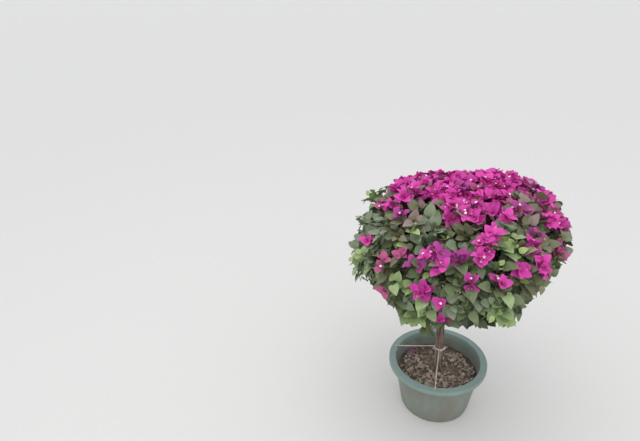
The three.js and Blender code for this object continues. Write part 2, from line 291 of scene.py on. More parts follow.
# Materials
class Look:
    """A material and short ways to add nodes to it. Those that make a value give back its output."""

    def __init__(self, name, roughness, specular):
        self.material = bpy.data.materials.new(name)
        self.material.use_nodes = True
        self.shader = self.material.node_tree.nodes["Principled BSDF"]
        self.shader.inputs["Roughness"].default_value = roughness
        self.shader.inputs["Specular IOR Level"].default_value = specular

    def feed(self, socket, value):
        """Links a socket to another node's output, or sets it to a plain value."""
        if isinstance(value, bpy.types.NodeSocket):
            self.material.node_tree.links.new(value, socket)
        else:
            socket.default_value = value

    def node(self, kind, inputs=None, **settings):
        node = self.material.node_tree.nodes.new(kind)
        for name, setting in settings.items():
            setattr(node, name, setting)
        for name, value in (inputs or {}).items():
            self.feed(node.inputs[name], value)
        return node

    def noise(self, scale, detail=4.0, stretch=(1, 1, 1)):
        place = self.node("ShaderNodeTexCoord").outputs["Object"]
        stretched = self.node("ShaderNodeMapping", {"Vector": place, "Scale": stretch}).outputs["Vector"]
        inputs = {"Vector": stretched, "Scale": scale, "Detail": detail}
        return self.node("ShaderNodeTexNoise", inputs).outputs["Fac"]

    def ramp(self, source, stops):
        """A colour ramp of (position, colour) stops driven by source."""
        ramp = self.node("ShaderNodeValToRGB", {"Fac": source})
        elements = ramp.color_ramp.elements
        for index, (position, colour) in enumerate(stops):
            element = elements[index] if index < 2 else elements.new(position)
            element.position = position
            element.color = colour
        return ramp.outputs["Color"]

    def height(self):
        """The height above the floor."""
        place = self.node("ShaderNodeNewGeometry").outputs["Position"]
        return self.node("ShaderNodeSeparateXYZ", {"Vector": place}).outputs["Z"]

    def maths(self, operation, first, second):
        return self.node("ShaderNodeMath", {0: first, 1: second}, operation=operation).outputs["Value"]

    def mixed(self, share, first, second):
        inputs = {"Factor": share, "A": first, "B": second}
        return self.node("ShaderNodeMix", inputs, data_type="RGBA").outputs["Result"]

    def paint(self, colour):
        self.feed(self.shader.inputs["Base Color"], colour)

    def bump(self, source, strength, depth):
        inputs = {"Height": source, "Strength": strength, "Distance": depth}
        self.feed(self.shader.inputs["Normal"], self.node("ShaderNodeBump", inputs).outputs["Normal"])


def mottled_look(name, low, high, scale, roughness, specular, bump=None):
    """Two colours that drift into each other, with a (strength, depth) bump where one is given."""
    look = Look(name, roughness, specular)
    cloud = look.noise(scale)
    look.paint(look.ramp(cloud, [(0.3, low), (0.7, high)]))
    if bump:
        look.bump(cloud, *bump)
    return look.material


def foliage_look(name, colour, roughness, specular):
    """One base colour with a slight mottle, so that it stays even on a piece of many leaves."""
    *channels, _ = srgb(*colour)
    darker = (*(channel * 0.86 for channel in channels), 1.0)
    lighter = (*(min(1.0, channel * 1.12) for channel in channels), 1.0)
    return mottled_look(name, darker, lighter, 60, roughness, specular)


def pot_look():
    """Grey-teal plastic, dusty all over and muddy towards the foot, with painted shade as a greyer band
    just under the lip.
    """
    look = Look("pot_plastic", 0.55, 0.4)
    plastic = look.ramp(look.noise(9, 6), [(0.3, srgb(115, 135, 127)), (0.72, srgb(129, 149, 141))])
    # Share of the dust colour by height: more towards the foot for mud and dust, a rise just under the
    # lip that is painted shade, and the lip itself kept clean
    dust_and_lip_shade_at_height = [(0.0, 0.78), (0.5, 0.66), (0.86, 0.74), (0.93, 0.05)]
    share = look.maths("DIVIDE", look.height(), POT_HEIGHT)
    dust_and_lip_shade = look.ramp(share, [(at, (amount, amount, amount, 1)) for at, amount in dust_and_lip_shade_at_height])
    grime = look.noise(26, 8, stretch=(1, 1, 0.45))
    patches = look.ramp(look.maths("MULTIPLY", grime, dust_and_lip_shade), [(0.0, (0, 0, 0, 1)), (0.45, (1, 1, 1, 1))])
    # The dust colour, which in the band under the lip stands for painted shade
    look.paint(look.mixed(patches, plastic, srgb(118, 117, 105)))
    look.bump(grime, 0.25, 0.0008)
    return look.material


def bark_look():
    """Grey-brown bark, redder up the trunk, with long fissures."""
    look = Look("bark", 0.9, 0.25)
    fissures = look.noise(95, 9, stretch=(1, 1, 0.16))
    low = look.ramp(fissures, [(0.34, srgb(56, 48, 42)), (0.64, srgb(138, 126, 112))])
    high = look.ramp(fissures, [(0.34, srgb(60, 43, 37)), (0.64, srgb(134, 108, 94))])
    change = {"Value": look.height(), "From Min": 0.18, "From Max": 0.30}
    share = look.node("ShaderNodeMapRange", change).outputs["Result"]
    look.paint(look.mixed(share, low, high))
    look.bump(fissures, 0.9, 0.0016)
    return look.material


# Leaf colour classes; deep is also used as painted shade inside the crown, low on it and on leaves
# facing down
LEAF_COLOURS = {
    "deep": (77, 88, 62),
    "mid": (104, 117, 80),
    "olive": (118, 117, 88),
    "dusky": (134, 115, 108),
    "grey": (119, 130, 103),
    "pale": (144, 164, 113),
    "young": (150, 172, 103),
}
# Bract colour classes; bright is also painted light on the top of the crown, and deep painted shade low
# on it
BRACT_COLOURS = {
    "bright": (209, 70, 163),
    "full": (190, 58, 148),
    "deep": (166, 62, 137),
    "rose": (176, 84, 127),
}
# Name, the two colours, the mottle's scale, roughness, specular, and the bump where there is one
MOTTLED_LOOKS = {
    "twig": ("twig_bark", (84, 66, 52), (126, 106, 86), 90, 0.85, 0.2),
    "stem": ("green_stem", (92, 100, 62), (122, 128, 82), 90, 0.6, 0.3),
    "soil": ("soil", (84, 71, 62), (130, 114, 101), 70, 0.95, 0.2, (0.8, 0.003)),
    "stone": ("gravel", (146, 134, 122), (190, 178, 166), 40, 0.85, 0.3, (0.4, 0.001)),
    "chip": ("wood_chip", (120, 104, 92), (166, 149, 134), 60, 0.9, 0.2, (0.4, 0.001)),
    "dry_leaf": ("dry_leaf", (130, 114, 101), (174, 156, 140), 50, 0.85, 0.2),
    "twine": ("twine", (178, 170, 152), (214, 208, 194), 300, 0.8, 0.3),
    "flower": ("flower_cream", (244, 240, 226), (255, 253, 244), 80, 0.5, 0.4),
    "tube": ("flower_tube", (190, 96, 150), (206, 128, 160), 80, 0.6, 0.3),
}
LOOKS = {"pot": pot_look(), "bark": bark_look()}
for key, (name, low, high, *rest) in MOTTLED_LOOKS.items():
    LOOKS[key] = mottled_look(name, srgb(*low), srgb(*high), *rest)
LOOKS["bract_faded"] = foliage_look("bract_faded", (132, 92, 108), 0.8, 0.2)
for kind, colour in LEAF_COLOURS.items():
    LOOKS[f"leaf_{kind}"] = foliage_look(f"leaf_{kind}", colour, 0.55, 0.4)
for kind, colour in BRACT_COLOURS.items():
    LOOKS[f"bract_{kind}"] = foliage_look(f"bract_{kind}", colour, 0.7, 0.25)


# Meshes
def new_object(name, data):
    thing = bpy.data.objects.new(name, data)
    bpy.context.collection.objects.link(thing)
    return thing


class Batch:
    """Many small shapes gathered into one mesh."""

    def __init__(self):
        self.points = []
        self.faces = []
        self.count = 0

    def add(self, points, faces):
        points = np.asarray(points, float).reshape(-1, 3)
        self.points.append(points)
        for group in faces if isinstance(faces, list) else [faces]:
            self.faces.append(np.asarray(group) + self.count)
        self.count += len(points)

    def add_copies(self, template, faces, origins, axes, sizes):
        """One copy of a template for each origin: axes is (n, 3, 3), one row for each of its x, y, z."""
        scaled = np.asarray(sizes, float).reshape(-1, 1, 1) * template[None]
        points = origins[:, None, :] + np.einsum("nmk,nkj->nmj", scaled, axes)
        shift = (np.arange(len(origins)) * len(template))[:, None, None]
        self.add(points, (faces[None] + shift).reshape(-1, faces.shape[1]))

    def build(self, name, look, slot, nodes=()):
        mesh = bpy.data.meshes.new(name)
        faces = [tuple(face) for group in self.faces for face in group.tolist()]
        mesh.from_pydata(np.concatenate(self.points).tolist(), [], faces)
        mesh.polygons.foreach_set("use_smooth", [True] * len(mesh.polygons))
        mesh.materials.append(LOOKS[look])
        mesh.update()
        thing = new_object(name, mesh)
        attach(thing, "root")
        if nodes:
            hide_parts(*nodes)


def path_frames(path):
    """Tangent, normal and binormal at each point of a path, with no twist along it."""
    tangents = unit(np.gradient(path, axis=0))
    side = np.cross(tangents[0], (0, 0, 1.0))
    if norm(side) < 0.1:
        side = np.cross(tangents[0], (0, 1.0, 0))
    normals = [unit(side)]
    for tangent in tangents[1:]:
        normals.append(unit(normals[-1] - np.dot(normals[-1], tangent) * tangent))
    normals = np.array(normals)
    return tangents, normals, np.cross(tangents, normals)


def ring_faces(rings, sides):
    """The faces between rings of points."""
    ring = np.arange(rings - 1)[:, None] * sides
    side = np.arange(sides)[None]
    after = (side + 1) % sides
    corners = [ring + side, ring + after, ring + sides + after, ring + sides + side]
    return np.stack(corners, -1).reshape(-1, 4)


def tube(path, radii, sides):
    """A closed tube. radii is one number, or one for each point, or one for each point and side."""
    path = np.asarray(path, float)
    _, normals, binormals = path_frames(path)
    turn = full_turn(sides)
    radii = np.asarray(radii, float)
    if radii.ndim < 2:
        radii = np.broadcast_to(radii, len(path))[:, None]
    cosines, sines = np.cos(turn)[None, :, None], np.sin(turn)[None, :, None]
    around = cosines * normals[:, None] + sines * binormals[:, None]
    points = (path[:, None] + radii[..., None] * around).reshape(-1, 3)
    points = np.concatenate([points, path[:1], path[-1:]])
    side = np.arange(sides)
    after = (side + 1) % sides
    last = (len(path) - 1) * sides
    start = np.stack([after, side, np.full(sides, len(points) - 2)], -1)
    end = np.stack([last + side, last + after, np.full(sides, len(points) - 1)], -1)
    return points, [ring_faces(len(path), sides), start, end]


def lathe(profile, segments):
    """Radius and height pairs turned about Z. A pair of radius 0 closes the shape on the axis."""
    profile = np.asarray(profile, float)
    turn = full_turn(segments)
    radius = profile[:, 0:1]
    height = np.broadcast_to(profile[:, 1:2], (len(profile), segments))
    points = np.stack([radius * np.cos(turn), radius * np.sin(turn), height], -1)
    return points.reshape(-1, 3), ring_faces(len(profile), segments)


def catmull(points, steps):
    """A smooth line through points, with so many steps to each span."""
    points = np.asarray(points, float)
    padded = np.concatenate([[2 * points[0] - points[1]], points, [2 * points[-1] - points[-2]]])
    line = []
    for a, b, c, d in zip(padded, padded[1:], padded[2:], padded[3:]):
        for t in np.arange(steps) / steps:
            square = (2 * a - 5 * b + 4 * c - d) * t**2
            cube = (3 * b - a - 3 * c + d) * t**3
            line.append(0.5 * (2 * b + (c - a) * t + square + cube))
    line.append(points[-1])
    return np.array(line)


def bezier(a, b, c, d, steps):
    t = np.linspace(0, 1, steps + 1)[:, None]
    return (1 - t) ** 3 * a + 3 * (1 - t) ** 2 * t * b + 3 * (1 - t) * t**2 * c + t**3 * d


def resampled(path, step):
    """The same line with points a fixed step apart."""
    lengths = np.concatenate([[0], np.cumsum(norm(np.diff(path, axis=0), axis=1))])
    stations = np.linspace(0, lengths[-1], max(3, int(lengths[-1] / step) + 1))
    return np.stack([np.interp(stations, lengths, path[:, k]) for k in range(3)], -1)


# Camera, light and floor
def camera_axes():
    """The camera's ways to the right, up and forward."""
    forward = np.array([0, cos(CAMERA_DIP), -sin(CAMERA_DIP)])
    level = np.array([1.0, 0, 0])
    upright = np.cross(level, forward)
    return swung(CAMERA_ROLL, level, upright), swung(CAMERA_ROLL, upright, -level), forward


def photo_pixels(points):
    """Where points fall in the photograph."""
    right, up, forward = camera_axes()
    away = np.asarray(points) - CAMERA_PLACE
    depth = away @ forward
    across = PHOTO_WIDTH / 2 + FOCAL_PIXELS * (away @ right) / depth
    down = PHOTO_HEIGHT / 2 - FOCAL_PIXELS * (away @ up) / depth
    return np.stack([across, down], -1)


def in_patches(pixel, patches):
    return any(hypot(pixel[0] - x, pixel[1] - y) < radius for x, y, radius in patches)


def line_of_sight(x, y):
    """The way from the camera through a pixel of the photograph."""
    right, up, forward = camera_axes()
    return unit(forward * FOCAL_PIXELS + right * (x - PHOTO_WIDTH / 2) - up * (y - PHOTO_HEIGHT / 2))


def make_camera():
    right, up, forward = camera_axes()
    data = bpy.data.cameras.new("camera")
    data.sensor_fit = "HORIZONTAL"
    data.sensor_width = SENSOR_MM
    data.lens = FOCAL_PIXELS / PHOTO_WIDTH * SENSOR_MM
    camera = new_object("camera", data)
    rotation = Matrix([Vector(right), Vector(up), Vector(-forward)]).transposed().to_4x4()
    camera.matrix_world = Matrix.Translation(Vector(CAMERA_PLACE)) @ rotation
    bpy.context.scene.camera = camera


def area_light(name, place, target, size, power):
    data = bpy.data.lights.new(name, "AREA")
    data.size = size
    data.energy = power
    light = new_object(name, data)
    light.location = place
    light.rotation_euler = (Vector(target) - Vector(place)).to_track_quat("-Z", "Y").to_euler()


def make_stage():
    mesh = bpy.data.meshes.new("floor")
    corners = [(x * FLOOR_HALF, y * FLOOR_HALF, 0) for x, y in ((-1, -1), (1, -1), (1, 1), (-1, 1))]
    mesh.from_pydata(corners, [], [(0, 1, 2, 3)])
    look = Look("floor_paint", 0.8, 0.2)
    look.paint(FLOOR_COLOUR)
    mesh.materials.append(look.material)
    new_object("floor", mesh)
    world = bpy.data.worlds.new("studio")
    world.use_nodes = True
    background = world.node_tree.nodes["Background"]
    background.inputs["Color"].default_value = SKY_COLOUR
    background.inputs["Strength"].default_value = SKY_STRENGTH
    bpy.context.scene.world = world
    area_light("overhead", place=(-0.5, -0.6, 3.0), target=(0, 0, 0.5), size=2.6, power=15)
    area_light("front", place=(0.9, -2.6, 1.7), target=(0, 0, 0.5), size=1.8, power=5)
    bpy.context.scene.view_settings.view_transform = "Standard"


# Pot, soil and what lies on it
def wall_radius(height):
    """The radius of the outside of the pot's wall."""
    return BASE_RADIUS + (MOUTH_RADIUS + WALL - BASE_RADIUS) * height / LIP_FOOT


SOIL_RADIUS = wall_radius(SOIL_EDGE) - WALL


def arc(radius, height, round_radius, start):
    """A quarter of a circle about a radius and height, from start degrees on."""
    turns = np.radians(np.linspace(start, start + 90, 6))
    return [(radius + round_radius * cos(t), height + round_radius * sin(t)) for t in turns]


def make_pot():
    outer = [(wall_radius(h), h) for h in np.linspace(0.012, LIP_FOOT - 0.004, WALL_RINGS)]
    inner = [(wall_radius(h) - WALL, h) for h in np.linspace(LIP_FOOT, WALL + 0.006, WALL_RINGS)]
    profile = [
        (0.0001, 0),
        (BASE_RADIUS * 0.6, 0),
        (BASE_RADIUS - 0.012, 0),
        *arc(BASE_RADIUS - FOOT_ROUND, FOOT_ROUND, FOOT_ROUND, -90),
        *outer,
        *arc(LIP_RADIUS - LIP_ROUND, LIP_FOOT + LIP_ROUND, LIP_ROUND, -90),
        *arc(LIP_RADIUS - LIP_ROUND, POT_HEIGHT - LIP_ROUND, LIP_ROUND, 0),
        (LIP_RADIUS - 0.007, POT_HEIGHT - 0.0006),
        (MOUTH_RADIUS + 0.007, POT_HEIGHT - 0.0006),
        *arc(MOUTH_RADIUS + LIP_ROUND, POT_HEIGHT - LIP_ROUND, LIP_ROUND, 90),
        *inner,
        (wall_radius(WALL) - WALL - 0.006, WALL),
        (0.0001, WALL),
    ]
    batch = Batch()
    points, faces = lathe(profile, POT_SEGMENTS)
    # Thin plastic is never quite round
    turn = np.arctan2(points[:, 1], points[:, 0])
    swell = 1 + 0.0035 * np.sin(2 * turn + 0.6) * np.clip(points[:, 2] / POT_HEIGHT, 0, 1)
    points[:, :2] *= swell[:, None]
    batch.add(points, faces)
    batch.build("pot_shell", "pot", "pot", ["pot"])


def soil_height(x, y):
    share = min(1.0, hypot(x, y) / SOIL_RADIUS)
    mound = SOIL_CROWN * (1 - smooth_step(0.15, 1.0, share))
    place = Vector((x * 22, y * 22, 0.3))
    coarse = 0.0035 * noise(place)
    fine = 0.0022 * noise(place * 4.3) + 0.0012 * noise(place * 11)
    return SOIL_EDGE + float(mound) + coarse + fine


def soil_place(radius, turn):
    x, y = radius * cos(turn), radius * sin(turn)
    return x, y, soil_height(x, y)


def make_soil():
    batch = Batch()
    radii = np.linspace(0.0005, SOIL_RADIUS + 0.0006, SOIL_RINGS)
    points = [soil_place(radius, turn) for radius in radii for turn in full_turn(SOIL_SEGMENTS)]
    batch.add(points, ring_faces(SOIL_RINGS, SOIL_SEGMENTS))
    batch.build("soil_surface", "soil", "soil", ["soil"])


def icosphere():
    shape = bmesh.new()
    bmesh.ops.create_icosphere(shape, subdivisions=2, radius=1.0)
    shape.verts.index_update()
    points = np.array([corner.co for corner in shape.verts])
    faces = np.array([[corner.index for corner in face.verts] for face in shape.faces])
    shape.free()
    return points, faces


def lumpy(points, seed):
    """A stone's shape: the sphere pushed in and out by noise and flattened on a few sides."""
    shift = Vector((seed * 7.1, 0, 0))
    shaped = np.array([point * (1 + 0.5 * noise(Vector(point) * 1.1 + shift)) for point in points])
    local = np.random.default_rng(seed)
    for _ in range(5):
        side = unit(local.normal(size=3))
        reach = shaped @ side
        over = np.maximum(0, reach - 0.72)
        shaped -= over[:, None] * side * 0.85
    return shaped


def turned_axes(count, tilt):
    """Random turns about Z, with a random tilt off it."""
    yaw = rng.uniform(0, 2 * pi, count)
    normal = unit(np.stack([rng.normal(0, tilt, count), rng.normal(0, tilt, count), np.ones(count)], -1))
    along = np.stack([np.cos(yaw), np.sin(yaw), np.zeros(count)], -1)
    along = unit(along - (along * normal).sum(-1, keepdims=True) * normal)
    across = np.cross(along, normal)
    return np.stack([across, along, normal], 1)


def scattered_places(count, inner, outer):
    """Points on the soil between two radii, away from the bare patches that paint shade beside the
    trunk.
    """
    places = []
    while len(places) < count:
        place = soil_place(sqrt(rng.uniform(inner**2, outer**2)), rng.uniform(0, 2 * pi))
        # Few places fall in the bare patches, so that the soil stays dark there as painted shade
        if not in_patches(photo_pixels([place])[0], BARE_SOIL_SHADE_PATCHES) or rng.uniform() < 0.15:
            places.append(place)
    return np.array(places)


def make_litter():
    ball, ball_faces = icosphere()
    stones, crumbs, chips = Batch(), Batch(), Batch()
    for variant in range(STONE_SHAPES):
        shape = lumpy(ball, variant + 3) * np.array([1.0, 0.8, 0.6])
        count = STONES_OF_SHAPE
        places = scattered_places(count, 0.030, SOIL_RADIUS - 0.008)
        sizes = rng.uniform(*STONE_SIZES, count) * rng.uniform(0.7, 1.25, count)
        places[:, 2] += sizes * 0.25
        stones.add_copies(shape, ball_faces, places, turned_axes(count, 0.35), sizes)
        count = CRUMBS_OF_SHAPE
        places = scattered_places(count, 0.024, SOIL_RADIUS - 0.004)
        sizes = rng.uniform(*CRUMB_SIZES, count)
        places[:, 2] += sizes * 0.3
        crumbs.add_copies(shape, ball_faces, places, turned_axes(count, 0.6), sizes)
    stones.build("soil_gravel", "stone", "soil")
    crumbs.build("soil_crumbs", "soil", "soil")

    ends = (-0.5, 0.5)
    box = np.array([[x, y, z] for x in ends for y in ends for z in ends])
    box_faces = [(0, 1, 3, 2), (4, 6, 7, 5), (0, 4, 5, 1), (2, 3, 7, 6), (0, 2, 6, 4), (1, 5, 7, 3)]
    places = scattered_places(WOOD_CHIPS, 0.028, SOIL_RADIUS - 0.012)
    places[:, 2] += 0.0016
    for place, axes in zip(places, turned_axes(WOOD_CHIPS, 0.25)):
        size = np.array([rng.uniform(*limits) for limits in CHIP_SIZES])
        corners = (box + rng.uniform(-0.13, 0.13, box.shape)) * size
        chips.add(place + corners @ axes, [box_faces])
    chips.build("soil_wood_chips", "chip", "soil")


# Leaves, bracts and flowers
def blade(outline, rows, columns, ripples, fold, curl, ripple):
    """A thin blade one unit long, +Y to its tip and +Z up, folded, curled and rippled."""
    widest, rise, fall = outline
    points, ids = [], {}
    for row, t in enumerate(rows):
        width = widest * t**rise * (1 - t) ** fall if 0 < t < 1 else 0.0
        for column, u in enumerate(np.linspace(-1, 1, columns)):
            if width == 0 and column > 0:
                ids[row, column] = ids[row, 0]
                continue
            ids[row, column] = len(points)
            x = u * width
            wave = ripple * abs(u) ** 2 * sin(ripples * t * pi + 1.3 * u)
            points.append((x, t, fold * abs(x) - curl * t * t + wave))
    faces = []
    for row in range(len(rows) - 1):
        for column in range(columns - 1):
            a, b = ids[row, column], ids[row, column + 1]
            d, c = ids[row + 1, column], ids[row + 1, column + 1]
            faces += [triangle for triangle in ((a, b, c), (a, c, d)) if len(set(triangle)) == 3]
    return np.array(points), np.array(faces)


LEAF_ROWS = (0, 0.06, 0.22, 0.42, 0.64, 0.84, 1)
LEAF_BENDS = ((0.30, 0.10, 0.010), (0.42, 0.22, 0.020), (0.18, 0.02, 0.025), (0.34, 0.34, 0.015))
LEAF_SHAPES = [blade((0.96, 0.48, 0.92), LEAF_ROWS, 3, 3, *bend) for bend in LEAF_BENDS]
BRACT_ROWS = (0, 0.07, 0.28, 0.52, 0.76, 0.92, 1)
BRACT_BENDS = ((0.22, -0.05, 0.035), (0.10, 0.16, 0.045), (0.32, 0.05, 0.030), (0.16, 0.28, 0.050))
BRACT_SHAPES = [blade((0.84, 0.40, 0.66), BRACT_ROWS, 5, 4, *bend) for bend in BRACT_BENDS]


def star_flower():
    """The open end of a flower: five pale lobes round a small cup, one unit across, facing +Z."""
    points = [(0, 0, -0.12)]
    for k, turn in enumerate(full_turn(20)):
        radius = (0.5, 0.42, 0.24, 0.42)[k % 4]
        points.append((radius * cos(turn), radius * sin(turn), 0.05 if k % 4 == 0 else 0.0))
    faces = [(0, k + 1, (k + 1) % 20 + 1) for k in range(20)]
    return np.array(points), np.array(faces)


# Crown
def node_points(name):
    return np.array([corner.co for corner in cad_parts[name].data.vertices])


def mass_arrays(name):
    """The points and triangles of a mass."""
    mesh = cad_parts[name].data
    mesh.calc_loop_triangles()
    return node_points(name), np.array([tuple(face.vertices) for face in mesh.loop_triangles])


MASSES = {place: mass_arrays(f"foliage_{place}") for place in FORK_HEIGHTS}


def crown_tree():
    """The skins of all masses, for finding places on them, and the mass that each face belongs to."""
    points, triangles, owners, count = [], [], [], 0
    for place, (vertices, faces) in MASSES.items():
        points.append(vertices)
        triangles.append(faces + count)
        owners += [place] * len(faces)
        count += len(vertices)
    points, triangles = np.concatenate(points).tolist(), np.concatenate(triangles).tolist()
    return BVHTree.FromPolygons(points, triangles), owners


CROWN_TREE, FACE_OWNERS = crown_tree()
Shoot = namedtuple("Shoot", "tip way is_outer blooms leaf")


def way_out(spot):
    """The way out of the crown at a spot, a little steeper than its ellipsoid's own."""
    return unit((spot - CROWN_CENTRE) / CROWN_HALF_SIZE**1.4)


def placed_shoot(x, y, blooms, leaf):
    """The shoot that a pixel of the photograph shows, and the mass that it belongs to."""
    sight = line_of_sight(x, y)
    # A pixel between two masses takes the depth of the skin beside it
    ways = [line_of_sight(x + PROBE * cos(turn), y + PROBE * sin(turn)) for turn in full_turn(8)]
    hits = [CROWN_TREE.ray_cast(Vector(CAMERA_PLACE), Vector(way)) for way in ways]
    hits = sorted((hit for hit in hits if hit[0] is not None), key=lambda hit: hit[3])
    if len(hits) > 3:
        _, normal, face, depth = hits[1]
        tip = CAMERA_PLACE + sight * (depth + PLACED_SHOOT_DEPTH)
        way = unit(np.array(normal) + 0.5 * way_out(tip) - 0.3 * sight)
    else:
        # Beside the masses: the place along the line of sight that is nearest to one
        line = [CAMERA_PLACE + sight * depth for depth in np.linspace(*SEARCH_DEPTHS)]
        nearest = [CROWN_TREE.find_nearest(Vector(place)) for place in line]
        best = int(np.argmin([found[3] for found in nearest]))
        spot, face = np.array(nearest[best][0]), nearest[best][2]
        tip = spot + 0.3 * (line[best] - spot)
        way = unit(line[best] - spot + 0.02 * way_out(spot))
    return FACE_OWNERS[face], Shoot(tip, way, True, blooms, leaf)


def placed_shoots():
    """The shoots that the photograph shows, by the mass that they belong to."""
    found = {place: [] for place in MASSES}
    entries = [(x, y, blooms, None) for blooms, pixels in BLOOM_SHOOTS.items() for x, y in pixels]
    entries += [(x, y, 0, leaf) for leaf, pixels in LEAFY_SHOOTS.items() for x, y in pixels]
    for entry in entries:
        place, shoot = placed_shoot(*entry)
        found[place].append(shoot)
    return found


def shoots_of(place, placed):
    """The placed shoots of a mass, and evenly spaced ones between them a little under its skin."""
    vertices, faces = MASSES[place]
    corners = vertices[faces]
    normals = np.cross(corners[:, 1] - corners[:, 0], corners[:, 2] - corners[:, 0])
    areas = norm(normals, axis=1)
    normals = unit(normals)
    tries = int(areas.sum() / 2 * SHOOT_TRIES)
    picks = rng.choice(len(faces), tries, p=areas / areas.sum())
    u, v = rng.uniform(size=(2, tries))
    flip = u + v > 1
    u[flip], v[flip] = 1 - u[flip], 1 - v[flip]
    a, b, c = corners[picks].transpose(1, 0, 2)
    spots = a + u[:, None] * (b - a) + v[:, None] * (c - a)
    shoots = list(placed)
    tips = [shoot.tip for shoot in placed]
    for spot, normal in zip(spots, normals[picks]):
        way = way_out(spot)
        hit = CROWN_TREE.ray_cast(Vector(spot + way * 0.004), Vector(way), 0.5)[0]
        is_outer = hit is None and np.dot(normal, way) > -0.3
        tip = spot - (way if is_outer else normal) * rng.uniform(*SHOOT_INSET)
        spacing = SHOOT_SPACING if is_outer else INNER_SHOOT_SPACING
        if tips and np.min(norm(np.array(tips) - tip, axis=1)) < spacing:
            continue
        tips.append(tip)
        heading = unit(normal + 0.5 * way) if is_outer else normal
        shoots.append(Shoot(tip, heading, is_outer, None, None))
    return shoots


def trunk_line():
    return catmull(TRUNK_LINE, 24)


def bough_line(place, trunk):
    """From the trunk at the fork to the far end of the CAD's bough, bent as the CAD bends it."""
    start = trunk[np.argmin(np.abs(trunk[:, 2] - FORK_HEIGHTS[place]))]
    points = node_points(f"bough_{place}")
    reach = norm(points - start, axis=1)
    end = points[reach > reach.max() - 0.0035].mean(0)
    span = end - start
    bend = start + span * np.array([0.3, 0.3, 0.48])
    t = np.linspace(0, 1, 40)[:, None]
    return (1 - t) ** 2 * start + 2 * (1 - t) * t * bend + t**2 * end


def farthest_first(points, start):
    """An order in which each point is the farthest from those before it, so that limbs come first."""
    left = norm(points - start, axis=1)
    order = []
    for _ in range(len(points)):
        pick = int(np.argmax(left))
        order.append(pick)
        left = np.minimum(left, norm(points - points[pick], axis=1))
        left[pick] = -1
    return order


class Wood:
    """The twigs of one mass: each shoot grows from the best-placed wood that is there before it."""

    def __init__(self, start, heading):
        self.spots = [start]
        self.headings = [heading]
        self.parents = [-1]
        self.twigs = []

    def grow(self, tip, way):
        spots, headings = np.array(self.spots), np.array(self.headings)
        away = tip - spots
        distance = norm(away, axis=1)
        turn = 1 - (unit(away) * headings).sum(1)
        root = int(np.argmin(distance * (1 + 0.6 * turn) + 0.004 * (distance < 0.02)))
        reach = distance[root]
        base = spots[root]
        leave = unit(headings[root] + 0.8 * unit(away[root]))
        end_way = unit(way + 0.8 * unit(away[root]) + (0, 0, 0.35))
        steps = max(4, int(reach / TWIG_STEP))
        line = bezier(base, base + leave * reach * 0.38, tip - end_way * reach * 0.34, tip, steps)
        wander = rng.normal(0, TWIG_WANDER, line.shape) * np.sin(np.linspace(0, pi, len(line)))[:, None]
        line = line + wander
        ways = unit(np.gradient(line, axis=0))
        chain = [root]
        for spot, heading in zip(line[1:], ways[1:]):
            self.parents.append(chain[-1])
            self.spots.append(spot)
            self.headings.append(heading)
            chain.append(len(self.spots) - 1)
        self.twigs.append(chain)

    def radii(self):
        """Thickness at each spot, from how many shoots it carries."""
        carried = np.zeros(len(self.spots))
        for chain in self.twigs:
            spot = chain[-1]
            while spot >= 0:
                carried[spot] += 1
                spot = self.parents[spot]
        return TWIG_TIP_RADIUS * np.maximum(carried, 1) ** TWIG_THICKENING


def in_outline(pixel):
    """Whether a pixel of the photograph lies within the crown's outline."""
    x, y = pixel
    inside = False
    for (x1, y1), (x2, y2) in zip(CROWN_OUTLINE, CROWN_OUTLINE[1:] + CROWN_OUTLINE[:1]):
        if (y1 > y) != (y2 > y) and x < x1 + (y - y1) * (x2 - x1) / (y2 - y1):
            inside = not inside
    return inside


def has_room(tips):
    """Whether tips stay within the outline, the object's greatest size and a small way of the masses."""
    if (tips < VISUAL_LOW).any() or (tips > VISUAL_HIGH).any():
        return False
    for tip, pixel in zip(tips, photo_pixels(tips)):
        spot, normal, _, distance = CROWN_TREE.find_nearest(Vector(tip))
        if distance > FURTHEST_PROUD and (Vector(tip) - spot).dot(normal) > 0:
            return False
        if not in_outline(pixel):
            return False
    return True


def cloud_at(spot, scale, seed):
    return noise(Vector(spot) * scale + Vector((seed, 2.3 * seed, 0)))


def faces_camera(shoot):
    return np.dot(CAMERA_PLACE - shoot.tip, shoot.way) > -0.15


def is_thick(shoot, pixel):
    """Whether a shoot stands in the part of the crown that flowers thickly."""
    if faces_camera(shoot):
        beside = pixel[0] < BLOOM_EDGE and pixel[1] > BLOOM_EDGE_TOP
        return pixel[1] < BLOOM_LINE and not beside and not in_patches(pixel, LEAFY_PATCHES)
    level = (shoot.tip - CROWN_CENTRE) / CROWN_HALF_SIZE
    lean = np.dot(level, unit((0.42, 0.0, 0.9)))
    return lean + 0.5 * cloud_at(shoot.tip, 9.0, 1.7) > 0.56


def bloom_count(shoot, pixel):
    """How many blooms a shoot carries."""
    if shoot.blooms is not None:
        return shoot.blooms
    if not shoot.is_outer:
        return 0
    if is_thick(shoot, pixel):
        return int(rng.integers(6, 9))
    is_scattered = cloud_at(shoot.tip, 14.0, 3.9) > 0.30 and shoot.way[2] > -0.4
    return int(rng.integers(1, 4)) if is_scattered and not faces_camera(shoot) else 0


def dealt(reach):
    """A class by one random draw. reach gives the limit that each class takes the draws up to."""
    draw = rng.uniform()
    return next(kind for kind, limit in reach.items() if draw < limit)


